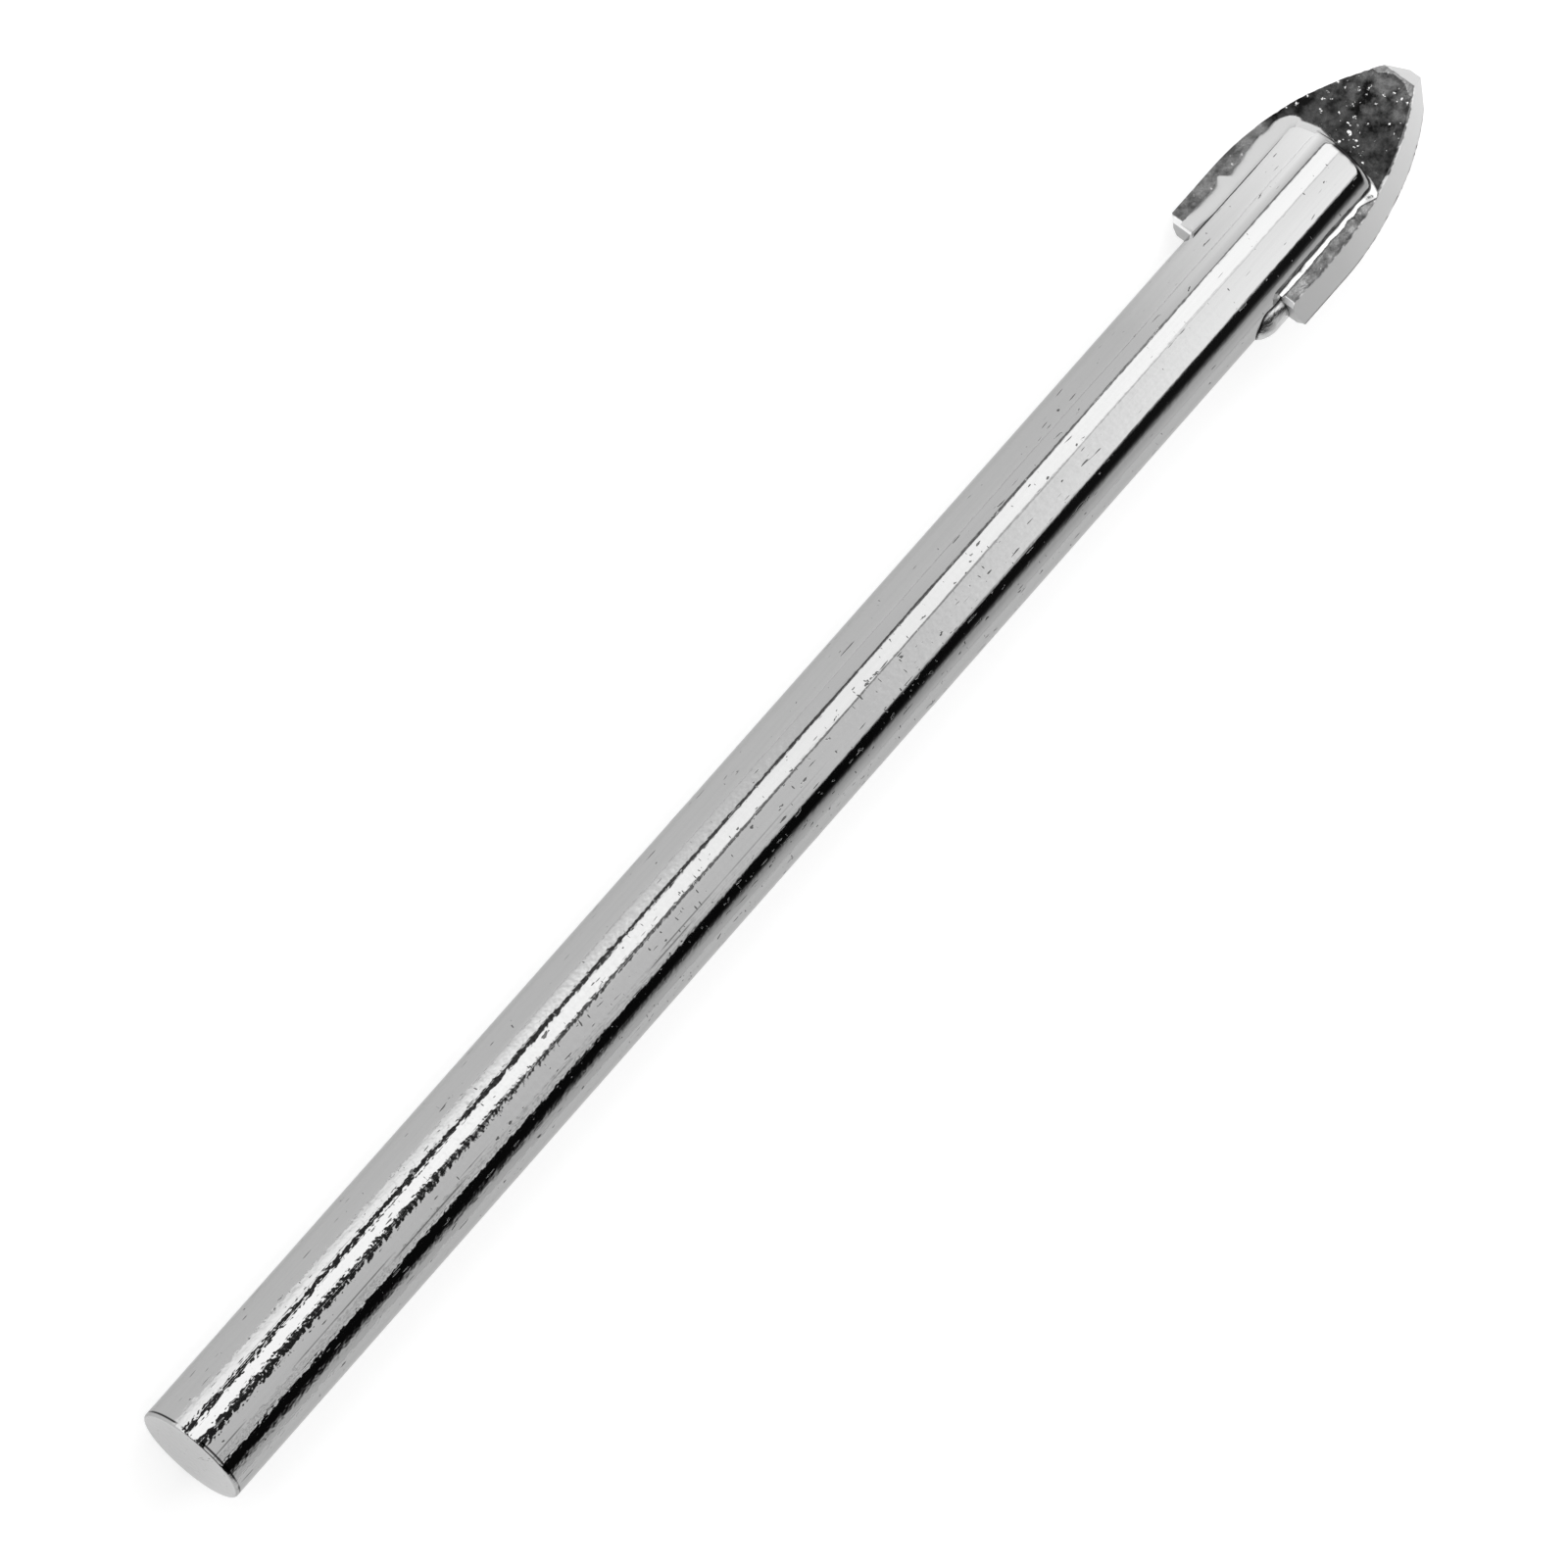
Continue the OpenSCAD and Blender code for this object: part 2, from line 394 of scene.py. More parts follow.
def silver_braze():
    """Bright frozen braze with small ripples, dressed smooth on one side, darkened along its borders and
    across the cheek end as painted shade and painted reflection.
    """
    n = Nodes("silver_braze")
    dark_and_painted_shade = n.attribute("dark_and_painted_shade")
    smooth = n.attribute("smooth")
    lumpy = n.mix(smooth, 1.0, 0.05)
    ripples = n.noise(per_mm(0.3, 0.2, 0.2), detail=3.0)
    fine = n.noise(per_mm(0.06, 0.06, 0.06), detail=2.0)
    bright = n.mix(smooth, n.steps(ripples, [(0.3, 0.62), (0.7, 0.80)]), 0.56)
    # Painted shade: the attribute darkens the braze along its seams with the bar and across the end of the
    # front cheek.
    n.set("Base Color", n.grey(n.mix(dark_and_painted_shade, bright, 0.015)))
    n.set("Metallic", 1.0)
    n.set("Roughness", n.mix(fine, 0.14, 0.30))
    normal = n.bump(n.math("MULTIPLY", ripples, lumpy), 1.5e-5)
    n.set("Normal", n.bump(n.math("MULTIPLY", fine, lumpy), 3e-6, normal))
    return n.material


# Shank: round bar with a slot across its head, two rounded cheeks and a flat tail

ARC_STEPS = 92
MOUTH_STEPS = 28
CHORD_STEPS = 24
NOSE_STEPS = 10
TAIL_STEPS = 6
WALL_STEPS = 110
CHEEK_ROWS = 12
TAIL_RINGS = (0.75, 0.5, 0.25)
# Painted shade: a dark line painted just behind the tail rim, and the gap where it fades out: its angle and
# width round the bar
PAINTED_RIM_LINE = 0.035
RIM_LINE_GAP = math.radians(96)
RIM_LINE_GAP_W = 0.13
# Painted reflection: where the end of the front cheek is painted dark, carrying the reflected dark band round
# it: angles round the bar, and reach along the rounded end
PAINTED_BAND_TURN = np.radians([93, 97, 126, 134])
PAINTED_BAND_X = (ROUND_X + 0.06, ROUND_X + 0.2)


def wall_radius(x):
    """Radius of the bar at x, dressed down slightly along the head."""
    return SHANK_R - max(0.0, x - DRESS_X) * DRESS_TAN


def arc_angles(r):
    """Angles round the bar: slot mouth, upper cheek, slot mouth, lower cheek."""
    mouth = math.asin(SLOT_Z / r)
    spans = [(-mouth, mouth, MOUTH_STEPS), (mouth, math.pi - mouth, ARC_STEPS)]
    spans += [(a + math.pi, b + math.pi, n) for a, b, n in spans]
    return np.concatenate([np.linspace(a, b, n, endpoint=False) for a, b, n in spans])


def round_ring(x, r, angles):
    return np.c_[np.full(len(angles), x), r * np.cos(angles), r * np.sin(angles)]


def cheek_ring(x, r, side):
    """Closed section of one cheek: its arc, then back along the flat of the slot."""
    mouth = math.asin(SLOT_Z / r)
    rim = round_ring(x, r, np.linspace(mouth, math.pi - mouth, ARC_STEPS + 1))
    back = np.linspace(rim[-1, 1], rim[0, 1], CHORD_STEPS + 1)[1:-1]
    flat = np.c_[np.full(len(back), x), back, np.full(len(back), SLOT_Z)]
    return np.r_[rim, flat] * [1, side, side]


def make_shank(material):
    shell = Shell()
    angles = arc_angles(SHANK_R)
    stations = []
    for a in np.radians(np.linspace(0, 90, TAIL_STEPS + 1)):
        stations.append((TAIL_EDGE * (1 - math.cos(a)), SHANK_R - TAIL_EDGE * (1 - math.sin(a))))
    stations += [(x, SHANK_R) for x in (TAIL_EDGE + PAINTED_RIM_LINE, TAIL_EDGE + 2 * PAINTED_RIM_LINE)]
    stations += [(x, SHANK_R) for x in np.linspace(TAIL_EDGE + 3 * PAINTED_RIM_LINE, DRESS_X, WALL_STEPS + 1)]
    stations.append((SLOT_X, wall_radius(SLOT_X)))
    rings = []
    for x, r in stations:
        ring = round_ring(x, r, angles)
        # Painted shade: a ragged dark line in the base colour just behind the tail rim, fading out at one
        # angle.
        on_painted_rim_line = 0.5 * PAINTED_RIM_LINE < x - TAIL_EDGE < 2.5 * PAINTED_RIM_LINE
        rim_gap = np.exp(-((angles - RIM_LINE_GAP) / RIM_LINE_GAP_W)**2)
        rings.append(shell.add(ring, on_painted_rim_line * ramp(field(ring, 0.4, 7) - rim_gap, -0.42, -0.2)))
    for a, b in zip(rings, rings[1:]):
        shell.bridge(a, b)
    inner = rings[0]
    for share in TAIL_RINGS:
        ring = shell.add(round_ring(0.0, (SHANK_R - TAIL_EDGE) * share, angles))
        shell.bridge(inner, ring)
        inner = ring
    shell.face(inner)

    last = rings[-1]
    floor_ring = []
    for side, first in ((1, MOUTH_STEPS), (-1, 2 * MOUTH_STEPS + ARC_STEPS)):
        rim = [last[(first + i) % len(last)] for i in range(ARC_STEPS + 1)]
        flat = shell.add(cheek_ring(SLOT_X, wall_radius(SLOT_X), side)[ARC_STEPS + 1:])
        ring = rim + flat
        floor_ring += last[first - MOUTH_STEPS:first] + [rim[0]] + flat[::-1]
        sections = [(x, wall_radius(x)) for x in np.linspace(SLOT_X, ROUND_X, CHEEK_ROWS)[1:]]
        for a in np.radians(np.linspace(0, 90, NOSE_STEPS + 1)[1:]):
            sections.append((ROUND_X + CHEEK_EDGE * math.sin(a), CHEEK_R - CHEEK_EDGE * (1 - math.cos(a))))
        for x, r in sections:
            points = cheek_ring(x, r, side)
            turn = np.arctan2(points[:, 2], points[:, 1])
            # Painted reflection: the dark band is painted round the rounded end of the front cheek.
            painted_band = ramp(x + 0.1 * field(points, 0.15, 9), *PAINTED_BAND_X)
            painted_band = painted_band * ramp(turn, *PAINTED_BAND_TURN[:2]) * (1 - ramp(turn, *PAINTED_BAND_TURN[2:]))
            after = shell.add(points, painted_band)
            shell.bridge(after, ring)
            ring = after
        shell.face(ring)
    shell.face(floor_ring)
    return shell.build("shank_plated", material, 32, {"dark_and_painted_shade": np.concatenate(shell.marks)})


# Carbide plate: pressed faces with real grain, ground flanks and two ground facets at the point

ROWS = 190
FACET_ROWS = 22
FACE_STEPS = 110
SIDE_STEPS = 24
# Half the thickness left at the chisel edge, and how far the bottom of the plate is drawn in
CHISEL_FLAT = 0.004
CAP = (0.99, 0.96)
# The point leans this far to -Y, growing along this stretch
LEAN = 0.13
LEAN_X = (60.5, 64.8)
# The worn corner of each face at its facet: a parabola round this place, up to this depth
CORNER_Y = 0.07
CORNER_BEND = 0.75
CORNER_MAX = 0.3
# Where the pressed face turns dark, and how dark its +Y half is before that
DARK_X = (ROUND_X - 0.7, ROUND_X + 0.2)
STRIP_DARK = 0.35


def flank_reach(along):
    """Half width of a flank in its own leaned frame, at a distance from the shoulder."""
    over = max(0.0, along - FLANK_L)
    return FLANK_W - OGIVE_R + math.sqrt(OGIVE_R**2 - over**2)


def tip_section(along):
    """Closed section of the plate from the +Y edge over the +Z face, and how far each point lies from the
    ground flank that ends its face: negative on the flank itself."""
    mid = flank_reach(along) / math.cos(RELIEF)
    trim = max(0.0, BEVEL - along)
    z = min(FACE_Z - trim, max(POINT_TAN * (TIP_L - along), CHISEL_FLAT))
    shift = z * math.tan(RELIEF)
    corners = np.array([(mid + shift, z), (shift - mid, z), (-mid - shift, -z), (mid - shift, -z)])
    points, gaps = [], []
    for i, count in enumerate((FACE_STEPS, SIDE_STEPS, FACE_STEPS, SIDE_STEPS)):
        a, b = corners[i], corners[(i + 1) % 4]
        t = np.arange(count)[:, None] / count
        length = np.linalg.norm(b - a)
        points.append(a + (b - a) * t)
        gaps.append(length * (1 - t[:, 0]) if i % 2 == 0 else -length * t[:, 0])
    points = np.concatenate(points)
    points[:, 0] = np.clip(points[:, 0], trim - WING, WING - trim)
    return points, np.concatenate(gaps)


def make_tip(material):
    shell = Shell()
    along = np.r_[np.linspace(0, BEVEL, 5), np.linspace(BEVEL, TIP_L - FACET_L, ROWS)[1:],
                  np.linspace(TIP_L - FACET_L, TIP_L, FACET_ROWS)[1:]]
    section, gap = tip_section(0.0)
    rings = [shell.add(np.c_[np.full(len(section), SHOULDER_X), section * CAP])]
    gaps = [gap]
    for a in along:
        section, gap = tip_section(a)
        rings.append(shell.add(np.c_[np.full(len(section), SHOULDER_X + a), section]))
        gaps.append(gap)
    shell.loft(rings)
    points = shell.all_points()
    gap = np.concatenate(gaps)
    count = 2 * (FACE_STEPS + SIDE_STEPS)
    slot = np.arange(len(points)) % count
    face = slot % (FACE_STEPS + SIDE_STEPS) < FACE_STEPS
    sign = np.where(slot < FACE_STEPS + SIDE_STEPS, 1.0, -1.0)
    up = points[:, 0] - SHOULDER_X
    flat = (up > BEVEL - 1e-6) & (up < TIP_L - FACET_L + 1e-6)
    # The border between ground and pressed is ragged, and less of the face is ground low on the flank
    ragged = 0.14 * field(points, 0.25, 3) + 0.1 * field(points, 0.09, 4)
    spared = 0.12 * np.exp(-((up - 1.5) / 0.7)**2)
    # The point leans, and the corner above its facet is worn
    points[:, 1] -= LEAN * ramp(points[:, 0], *LEAN_X)
    corner = np.minimum(CORNER_BEND * (points[:, 1] - CORNER_Y)**2, CORNER_MAX)
    rounded = 1 - ramp(TIP_L - up - FACET_L - corner + 0.3 * ragged, 0.0, 0.06)
    worn = 0.12 * rounded + 0.7 * rounded * (1 - rounded)
    ground = np.where(flat, np.maximum(1 - ramp(gap + ragged + spared, 0.0, 0.06), worn), 1.0)
    # The pressed face is dark past the cheeks
    pressed = np.maximum(ramp(points[:, 0] + ragged, *DARK_X), STRIP_DARK * (points[:, 1] > 0))
    dark = np.where(flat, pressed * (gap > 0.1) * (rounded < 0.1), up < BEVEL) * face
    dark[:count] = 0
    # Grain of the pressed face, fading out towards its ground borders
    lead = ramp(WING - np.abs(points[:, 1]), 0.0, 0.12) * ramp(gap, 0.0, 0.1) * face * flat
    grain = 0.06 * field(points, 0.35, 11) + 0.07 * field(points, 0.14, 12) - 0.03
    points[:, 2] += sign * grain * lead * (1 - ground)
    shell.points = [points]
    return shell.build("carbide_plate", material, 30, {"ground": ground, "dark": dark})


# Braze: the filling under the plate, fillets along the seams and across the cheek ends, and one hardened run

SEAM_STEPS = 120
TURN_STEPS = 16
END_STEPS = 60
SECTION_STEPS = 13
SUNK = 0.03
RUN_STEPS = 120
BALL_ROWS = 26
STRAIGHT_ROWS = 18
FILL_STEPS = 12
# How far braze laps over the rounded end of the front cheek: angle along the rounding, and half width
LAP_TURN = math.radians(20)
LAP_Y = 1.45
# One lump on the broad fillet
LUMP_X = 58.0
LUMP_W = 0.22
LUMP_H = 0.2
# Braze across the end of the front cheek, at places along y: width, climb, swell, darkness (painted
# reflection of the dark band) and lap
END_Y = (-1.4, -0.8, -0.4, 0.2, 0.6, 1.4)
END_SIZES = (
    (0.10, 0.20, 0.08, 0.40, 0.50, 0.50),
    (0.06, 0.10, 0.05, 0.35, 0.50, 0.50),
    (0.03, 0.03, 0.01, 0.20, 0.28, 0.16),
    (0.9, 0.7, 1.0, 0.2, 0.0, 0.0),
    (0, 0, 0, 0.6, 1, 1),
)
# Small drops beside that end
DROPS = 9
DROP_SIZE = (0.03, 0.09)
DROP_X = (61.55, 62.1)
DROP_Y = (-0.55, 0.15)
DROP_SHAPE = (0.6, 1.3)
DROP_H = 0.06


def cheek_path():
    """Stations round the foot of a cheek, up its +Y side, across its end and down its -Y side: x, radius from
    the axis, and share of the half width there."""
    side = [(x, wall_radius(x), 1.0) for x in np.linspace(SHOULDER_X + SUNK, ROUND_X, SEAM_STEPS)]
    for a in np.radians(np.linspace(0, 90, TURN_STEPS + 1)[1:]):
        side.append((ROUND_X + CHEEK_EDGE * math.sin(a), CHEEK_R - CHEEK_EDGE * (1 - math.cos(a)), 1.0))
    end = [(CHEEK_END_X, CHEEK_R - CHEEK_EDGE, share) for share in np.linspace(1, -1, END_STEPS + 1)[1:-1]]
    return side + end + [(x, r, -share) for x, r, share in side[::-1]]


def on_cheek(station, z):
    """Where the wall of the cheek has the height z at a station."""
    x, r, share = station
    return np.array([x, share * math.sqrt(r * r - z * z), z])


def lapped(share):
    """A place on the rounded end of a cheek, at a share of its half width."""
    r = CHEEK_R - CHEEK_EDGE * (1 - math.cos(LAP_TURN))
    y = share * LAP_Y
    return np.array([ROUND_X + CHEEK_EDGE * math.sin(LAP_TURN), y, math.sqrt(r * r - y * y)])


def cheek_fillet(shell, face, shape):
    """Fillet round the foot of one cheek, on the +Z or -Z face. At a place on the plate, shape gives its
    width, how far it climbs the cheek, how far its skin swells, how dark its painted shade is along the cheek
    and how far it laps over the rounded end."""
    path = cheek_path()
    line = np.array([on_cheek(station, FACE_Z) for station in path])
    along = np.gradient(line, axis=0)
    along /= np.linalg.norm(along, axis=1)[:, None]
    t = np.linspace(0, 1, SECTION_STEPS)
    rings = []
    for station, at, way in zip(path, line, along):
        width, climb, swell, dark_and_painted_shade, lap = shape(at[0], at[1])
        out = np.array([-way[1], way[0], 0])
        foot = at + out * width - [0, 0, SUNK]
        wall = on_cheek(station, SLOT_Z + climb)
        top = wall - out * 0.01
        top = top + (lapped(station[2]) - top) * lap
        inside = wall - out * 0.2
        inside[2] = FACE_Z - SUNK
        away = (foot + top) / 2 - inside
        away /= np.linalg.norm(away)
        skin = foot + (top - foot) * t[:, None] + away * (swell * 4 * t * (1 - t))[:, None]
        # Painted shade: the fillet is darkened near its top, where it meets the cheek wall.
        marks = np.r_[dark_and_painted_shade * ramp(t, 0.78, 0.94), 0.0]
        rings.append(shell.add(np.r_[skin, inside[None]] * [1, 1, face], marks))
    shell.loft(rings)


def wobble(seed, cell, low, high):
    """A random size along a line."""
    table = np.random.default_rng(seed).random(LINE_TABLE)

    def value(x):
        i = math.floor(x / cell)
        t = float(ramp(x / cell - i, 0, 1))
        here, after = table[i % LINE_TABLE], table[(i + 1) % LINE_TABLE]
        return low + (high - low) * (here * (1 - t) + after * t)

    return value


def ball_rings(centre, radii, count, around):
    """Rings of an ellipsoid from its -x end to its +x end."""
    turn = np.linspace(0, 2 * math.pi, around, endpoint=False)
    for a in np.linspace(-math.pi / 2, math.pi / 2, count + 2)[1:-1]:
        yield centre + radii * np.c_[np.full(around, math.sin(a)), math.cos(a) * np.cos(turn),
                                     math.cos(a) * np.sin(turn)]


def run(shell):
    """The run that hardened below one shoulder: a round end and a straight stretch, both a little lumpy."""
    turn = np.linspace(0, 2 * math.pi, RUN_STEPS, endpoint=False)
    rings = []
    lower = [(RUN_BALL_X - RUN_R * math.cos(a), RUN_R * math.sin(a))
             for a in np.radians(np.linspace(4, 90, BALL_ROWS))]
    straight = [(x, RUN_R) for x in np.linspace(RUN_BALL_X, SHOULDER_X + BEVEL / 2, STRAIGHT_ROWS)[1:]]
    axis_r = SHANK_R + RUN_H - RUN_R
    centre = np.array([0, axis_r * math.cos(RUN_ANGLE), axis_r * math.sin(RUN_ANGLE)])
    for x, r in lower + straight:
        ring = round_ring(x, 1.0, turn)
        lump = r + 0.10 * field(ring * [1, r, r], 0.5, 31) - 0.02
        points = ring * np.c_[np.ones(RUN_STEPS), lump, lump] + centre
        out = np.hypot(points[:, 1], points[:, 2]) - SHANK_R
        # Painted shade: the run is darkened fully where it meets the bar and at the shoulder, and partly all
        # over.
        border = np.maximum(1 - ramp(out, 0.03, 0.08), ramp(x, SHOULDER_X - 0.08, SHOULDER_X))
        rings.append(shell.add(points, np.maximum(border, 0.35)))
    shell.loft(rings)


def slot_fill(shell):
    """The layer of braze between the floor of the slot and the bottom of the plate."""
    mouth = math.asin(SLOT_Z / SHANK_R)
    side = np.linspace(-mouth, mouth, FILL_STEPS)
    angles = np.r_[side, side + math.pi]
    ends = (SLOT_X - SUNK, SHOULDER_X + SUNK)
    shell.loft([shell.add(round_ring(x, wall_radius(x) - 0.01, angles)) for x in ends])


def make_braze(material):
    shell = Shell()
    spread = wobble(21, 0.6, 0.45, 0.52)
    bead = wobble(22, 0.3, 0.13, 0.19)
    plain = wobble(23, 0.5, 0.16, 0.3)
    low_climb = wobble(25, 0.4, 0.03, 0.08)

    def front(x, y):
        """A broad smooth fillet on the +Y side that runs on round the end, and a narrow bead opposite."""
        # Painted shade: a faint dark line along the broad fillet, and a black line beside the narrow bead.
        if y > 0:
            climb = 0.12 + 0.4 * float(ramp(x, SHOULDER_X, SHOULDER_X + 0.9))
            side = (spread(x) + LUMP_H * hump(x, LUMP_X, LUMP_W), climb, 0.02, 0.12, 0.0)
        else:
            blob = hump(x, ROUND_X, 0.3)
            side = (bead(x) + 0.2 * blob, low_climb(x), 0.05 + 0.05 * blob, 1.0, 0.0)
        end = [np.interp(y, END_Y, sizes) for sizes in END_SIZES]
        share = float(ramp(x, ROUND_X, CHEEK_END_X))
        return [a + (b - a) * share for a, b in zip(side, end)]

    def back(x, y):
        return plain(x + 3 * y), 0.13, 0.01, 0.6, 0.0

    cheek_fillet(shell, 1, front)
    cheek_fillet(shell, -1, back)
    random = np.random.default_rng(28)
    for _ in range(DROPS):
        size = random.uniform(*DROP_SIZE)
        centre = np.array([random.uniform(*DROP_X), random.uniform(*DROP_Y), FACE_Z - 0.02])
        radii = np.array([size, size * random.uniform(*DROP_SHAPE), DROP_H])
        shell.loft([shell.add(ring) for ring in ball_rings(centre, radii, 7, 14)])
    run(shell)
    slot_fill(shell)
    points = shell.all_points()
    smooth = ramp(points[:, 1], -0.1, 0.4) * (points[:, 2] > 0)
    return shell.build("braze_metal", material, 50, {"dark_and_painted_shade": np.concatenate(shell.marks), "smooth": smooth})


pieces = [
    (make_shank(plated_steel()), "shank", "plated_steel"),
    (make_tip(carbide()), "carbide_tip", "carbide"),
    (make_braze(silver_braze()), "braze", "silver_braze"),
]
for piece, node, finish in pieces:
    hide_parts(node)
    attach(piece, "root")


# Studio: pale floor, a soft light tent round the bit with a dark flag at the tail end, and the camera

FLOOR_Z = -SHANK_R * MM
FLOOR_SIZE = 1.2
TENT_R = 0.3
TENT_X = (-0.5, 0.6)
TENT_SPAN = (1, 179)
TENT_STEPS = 90
FLOOR_GLOW = 0.64
SKY = 0.8
FLAG_X = -0.28
FLAG_Y = 0.24
FLAG_Z = (0.08, 0.3)


def flat_mesh(name, points, faces, material):
    mesh = bpy.data.meshes.new(name)
    mesh.from_pydata(points, [], faces)
    mesh.update()
    mesh.materials.append(material)
    piece = bpy.data.objects.new(name, mesh)
    bpy.context.scene.collection.objects.link(piece)
    return piece


def floor_material():
    """Pale floor that is white to the camera and in reflections, and keeps the shadow."""
    n = Nodes("pale_floor")
    n.set("Base Color", (0.5, 0.5, 0.5, 1))
    n.set("Roughness", 0.9)
    n.set("Specular IOR Level", 0.0)
    path = n.new("ShaderNodeLightPath")
    seen = n.math("MAXIMUM", path.outputs["Is Camera Ray"], path.outputs["Is Glossy Ray"])
    seen = n.math("MAXIMUM", seen, path.outputs["Is Transmission Ray"])
    n.set("Emission Color", (1, 1, 1, 1))
    n.set("Emission Strength", n.math("MULTIPLY", seen, FLOOR_GLOW))
    return n.material


def flag_material():
    n = Nodes("dark_flag")
    n.set("Base Color", (0.01, 0.01, 0.01, 1))
    n.set("Roughness", 1.0)
    n.set("Specular IOR Level", 0.0)
    return n.material


TENT_GAIN = 2.6
LINE_SOFT = 1.4
# Along the tent in millimetres: the stretch that the bit reflects, and where one zone passes into the next
SEEN_X = (89, 155)
TAIL_TO_MIDDLE = (93, 122)
MIDDLE_TO_HEAD = (125, 155)
# Brightness that the tail, the middle and the head reflect, at angles round the bit in degrees from +Y
TAIL_ZONES = (
    (0, 1.43), (5, 1.6), (11, 1.8), (17, 2.0), (30.5, 2.1), (32.5, 2.25), (67.5, 2.28), (69.5, 1.4),
    (76, 1.18), (85, 1.13), (108, 1.12), (109.5, 0.6), (111, 1.12), (113, 1.12), (114.5, 0.5), (116, 1.12),
    (119, 1.12), (120.5, 0.4), (122, 1.3), (124, 1.35), (126, 0.006), (148.5, 0.006), (152, 0.05),
    (156, 0.26), (160, 0.6), (164, 0.87), (172, 0.9), (180, 0.96),
)
MIDDLE_ZONES = (
    (0, 1.16), (20, 1.14), (30, 1.12), (32, 1.98), (64.8, 2.0), (66.5, 1.2), (116, 1.23), (121, 1.2),
    (125, 0.006), (143.5, 0.006), (147, 0.03), (150, 0.13), (153, 0.4), (155.8, 0.6), (163.7, 0.72),
    (172, 0.9), (180, 1.0),
)
HEAD_ZONES = (
    (0, 1.2), (30, 1.22), (32, 2.3), (64, 2.3), (65.8, 1.85), (119.5, 2.0), (123.5, 0.015), (140, 0.015),
    (144, 0.05), (148.3, 0.24), (155.8, 0.85), (163.7, 0.92), (172, 1.02), (180, 1.05),
)
# Dark lines beside the bright panel, from the tail (0) to the head (1): angle, half width and depth
LEFT_LINE = (
    ((0.0, 31.5), (1.0, 30.8)),
    ((0.0, 5.3), (0.15, 4.9), (0.5, 2.9), (1.0, 1.8)),
    ((0.0, 0.98), (0.5, 0.92), (1.0, 0.75)),
)
RIGHT_LINE = (
    ((0.0, 68.5), (0.15, 67.5), (0.5, 65.7), (1.0, 65.0)),
    ((0.0, 9.0), (0.05, 4.8), (0.15, 4.2), (0.5, 2.0), (1.0, 1.4)),
    ((0.0, 0.98), (0.5, 0.75), (1.0, 0.25)),
)


def tent_material():
    """Soft light that varies round the bit: a bright panel between two dark lines, a dark band and paler
    sides. The lines are wide where the tail sees them and thin towards the head."""
    n = Nodes("light_tent")
    n.tree.nodes.remove(n.shader)
    light = n.new("ShaderNodeEmission")
    light.inputs["Strength"].default_value = TENT_GAIN
    n.link(light.outputs[0], n.tree.nodes["Material Output"].inputs["Surface"])
    share = n.turn()

    def zones(stops):
        return n.steps(share, [(a / 180, grey / TENT_GAIN) for a, grey in stops])

    tail, middle, head = zones(TAIL_ZONES), zones(MIDDLE_ZONES), zones(HEAD_ZONES)
    along = n.axis("X", *SEEN_X)

    def outside_line(centres, halves, depths):
        """1 off a dark line and less on it. Its place, half width and depth run from the tail to the head."""
        centre = n.steps(along, [(at, angle / 180) for at, angle in centres])
        half = n.math("MULTIPLY", n.steps(along, [(at, size / 10) for at, size in halves]), 10 / 180)
        off = n.math("ABSOLUTE", n.math("SUBTRACT", share, centre), 0.0)
        inside = n.math("ADD", n.math("DIVIDE", n.math("SUBTRACT", half, off), LINE_SOFT / 180), 0.5)
        inside = n.steps(inside, [(0.0, 0.0), (1.0, 1.0)])
        return n.math("SUBTRACT", 1.0, n.math("MULTIPLY", inside, n.steps(along, depths)))

    up = n.mix(n.axis("X", *TAIL_TO_MIDDLE), tail, middle)
    up = n.mix(n.axis("X", *MIDDLE_TO_HEAD), up, head)
    for line in (LEFT_LINE, RIGHT_LINE):
        up = n.math("MULTIPLY", up, outside_line(*line))
    n.link(n.grey(up), light.inputs["Color"])
    return n.material


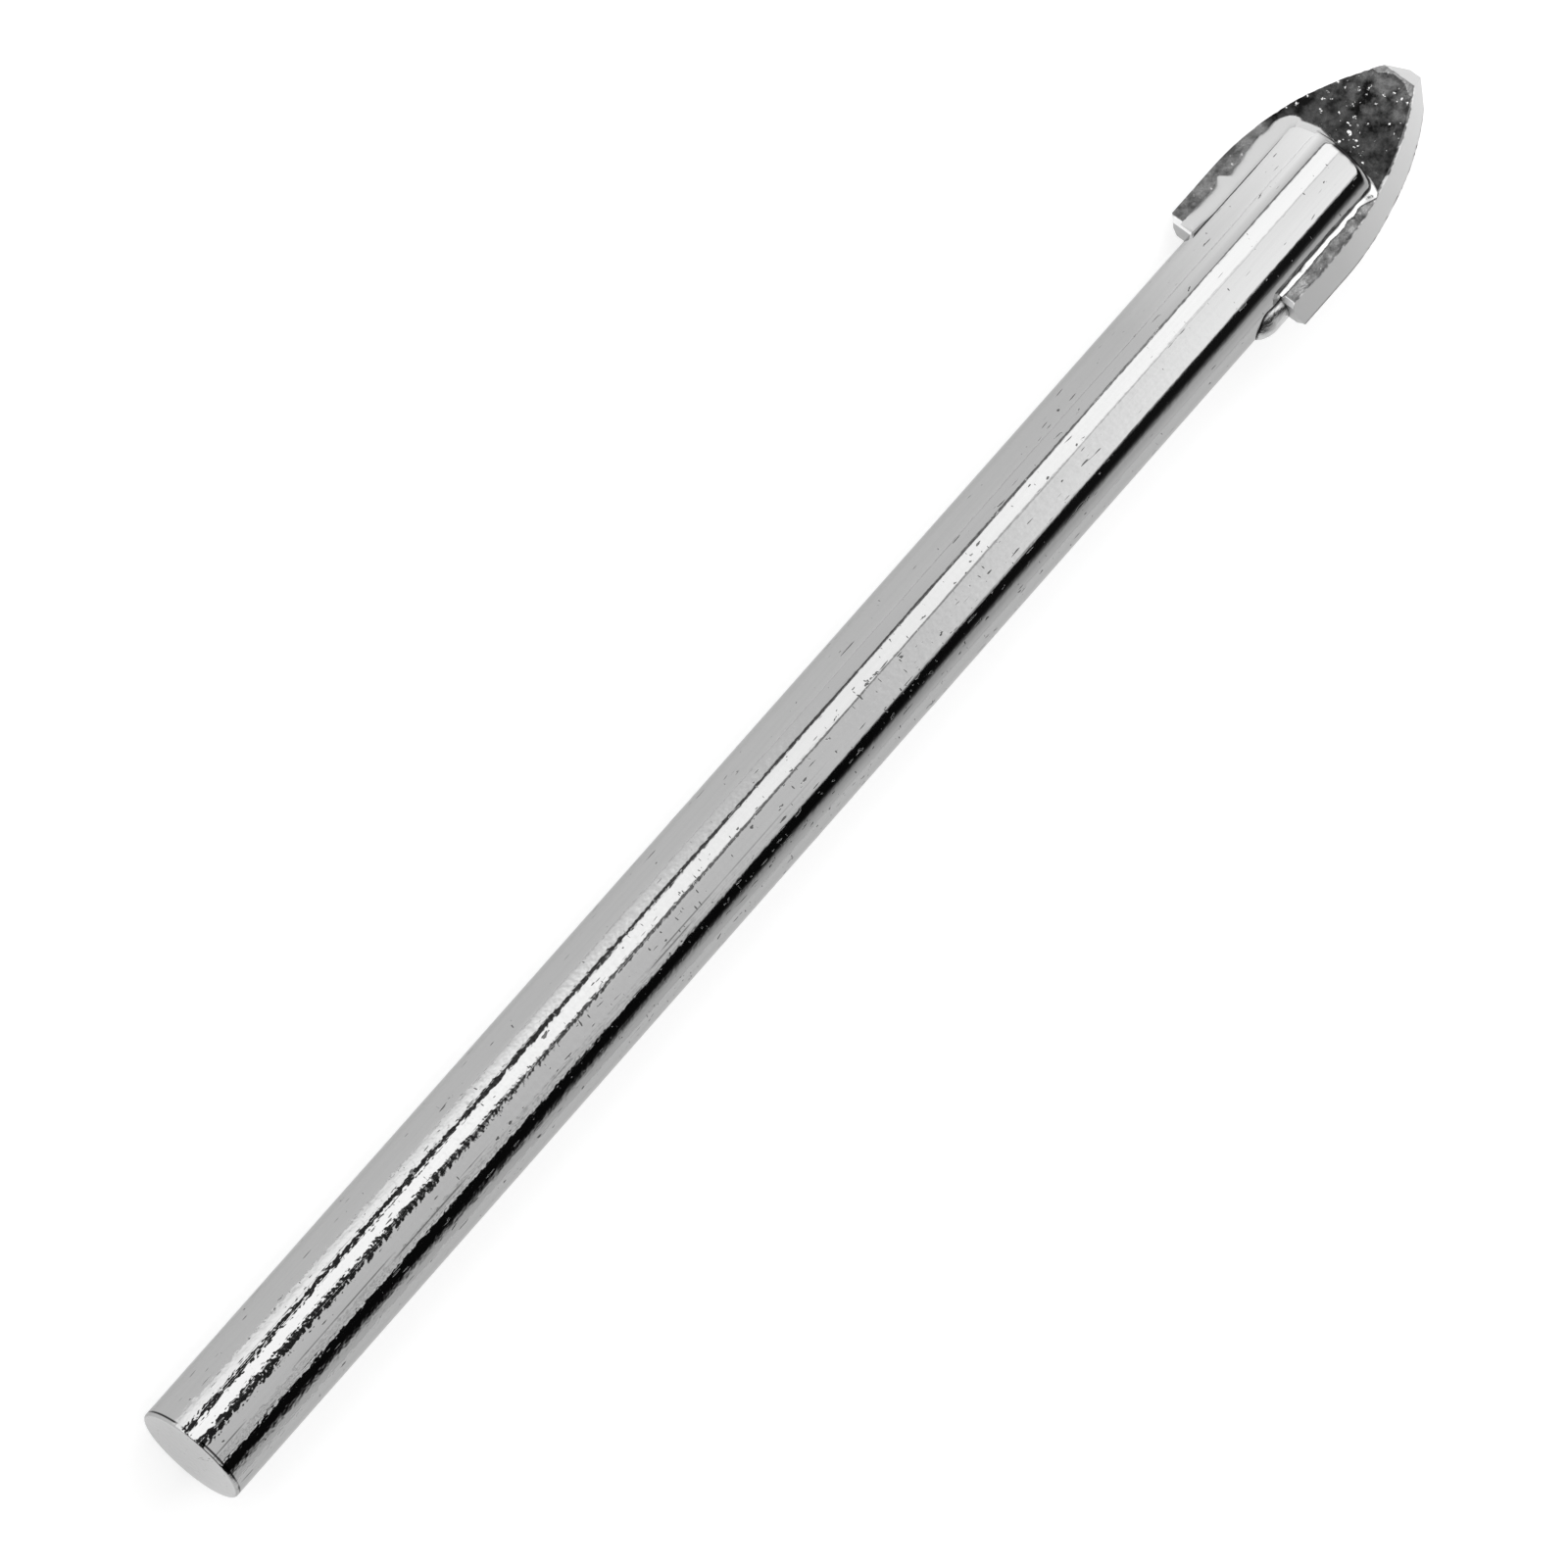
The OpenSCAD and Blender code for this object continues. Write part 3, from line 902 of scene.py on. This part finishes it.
flat_mesh(
    "floor",
    [(-FLOOR_SIZE, -FLOOR_SIZE, FLOOR_Z), (FLOOR_SIZE, -FLOOR_SIZE, FLOOR_Z),
     (FLOOR_SIZE, FLOOR_SIZE, FLOOR_Z), (-FLOOR_SIZE, FLOOR_SIZE, FLOOR_Z)],
    [(0, 1, 2, 3)], floor_material())

tent_angles = np.radians(np.linspace(*TENT_SPAN, TENT_STEPS))
tent_points = [(x, TENT_R * math.cos(a), TENT_R * math.sin(a)) for a in tent_angles for x in TENT_X]
tent_faces = [(2 * i, 2 * i + 1, 2 * i + 3, 2 * i + 2) for i in range(len(tent_angles) - 1)]
tent = flat_mesh("light_tent", tent_points, tent_faces, tent_material())
flag = flat_mesh(
    "dark_flag",
    [(FLAG_X, -FLAG_Y, FLAG_Z[0]), (FLAG_X, FLAG_Y, FLAG_Z[0]),
     (FLAG_X, FLAG_Y, FLAG_Z[1]), (FLAG_X, -FLAG_Y, FLAG_Z[1])],
    [(0, 1, 2, 3)], flag_material())
for card in (tent, flag):
    card.visible_camera = False

world = bpy.data.worlds.new("studio")
bpy.context.scene.world = world
world.use_nodes = True
world.node_tree.nodes["Background"].inputs["Color"].default_value = (1, 1, 1, 1)
world.node_tree.nodes["Background"].inputs["Strength"].default_value = SKY

# The camera as the photograph was taken: lengths in millimetres, angles in degrees
AIM = (31.235, -0.005, 0.0)
DISTANCE = 516.593
AZIMUTH = 129.331
ELEVATION = 63.346
TURN = 95.216
LENS = 349.44
SENSOR = 36

azimuth, elevation = math.radians(AZIMUTH), math.radians(ELEVATION)
towards = Vector((math.cos(azimuth) * math.cos(elevation), math.sin(azimuth) * math.cos(elevation),
                  math.sin(elevation)))
camera = bpy.data.objects.new("camera", bpy.data.cameras.new("camera"))
camera.data.sensor_width = SENSOR
camera.data.lens = LENS
eye = (Vector(AIM) + towards * DISTANCE) * MM
aimed = towards.to_track_quat("Z", "Y").to_matrix().to_4x4()
camera.matrix_world = Matrix.Translation(eye) @ aimed @ Matrix.Rotation(math.radians(TURN), 4, "Z")
bpy.context.scene.collection.objects.link(camera)
bpy.context.scene.camera = camera
bpy.context.scene.view_settings.view_transform = "Standard"
